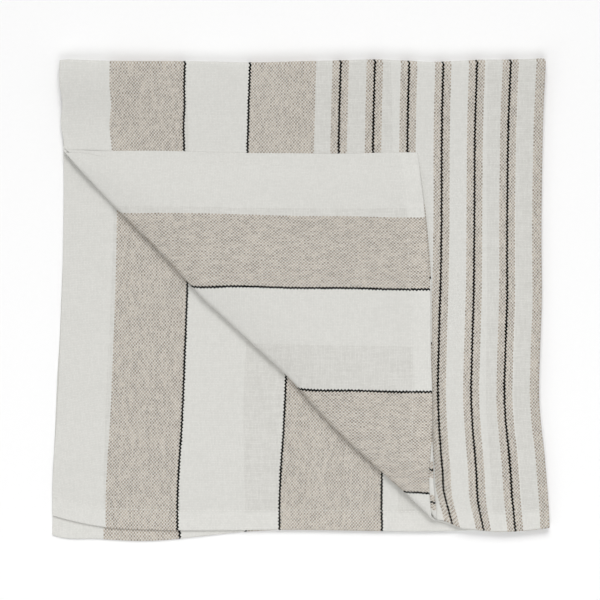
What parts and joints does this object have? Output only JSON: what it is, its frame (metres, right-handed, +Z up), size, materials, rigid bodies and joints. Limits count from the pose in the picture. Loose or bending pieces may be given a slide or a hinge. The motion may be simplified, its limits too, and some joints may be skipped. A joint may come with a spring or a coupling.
{
  "type": "napkin",
  "caption": "Striped linen table napkin folded to a square and laid flat, the open corner of its upper layers turned up over the diagonal so that the stripes there run crosswise.",
  "frame": {"origin": "centre of the footprint, on the surface that the folded napkin lies on", "axes": "+Z up; +X towards the side fold, +Y towards the fold that joins the upper layers to the lower ones; the turned corner's roll faces -X and -Y"},
  "size_m": [0.254, 0.2464, 0.0109],
  "materials": {
    "linen": "matt woven linen, off-white with taupe stripes and fine black lines"
  },
  "bodies": {
    "root": {"napkin": "linen"}
  },
  "joints": []
}
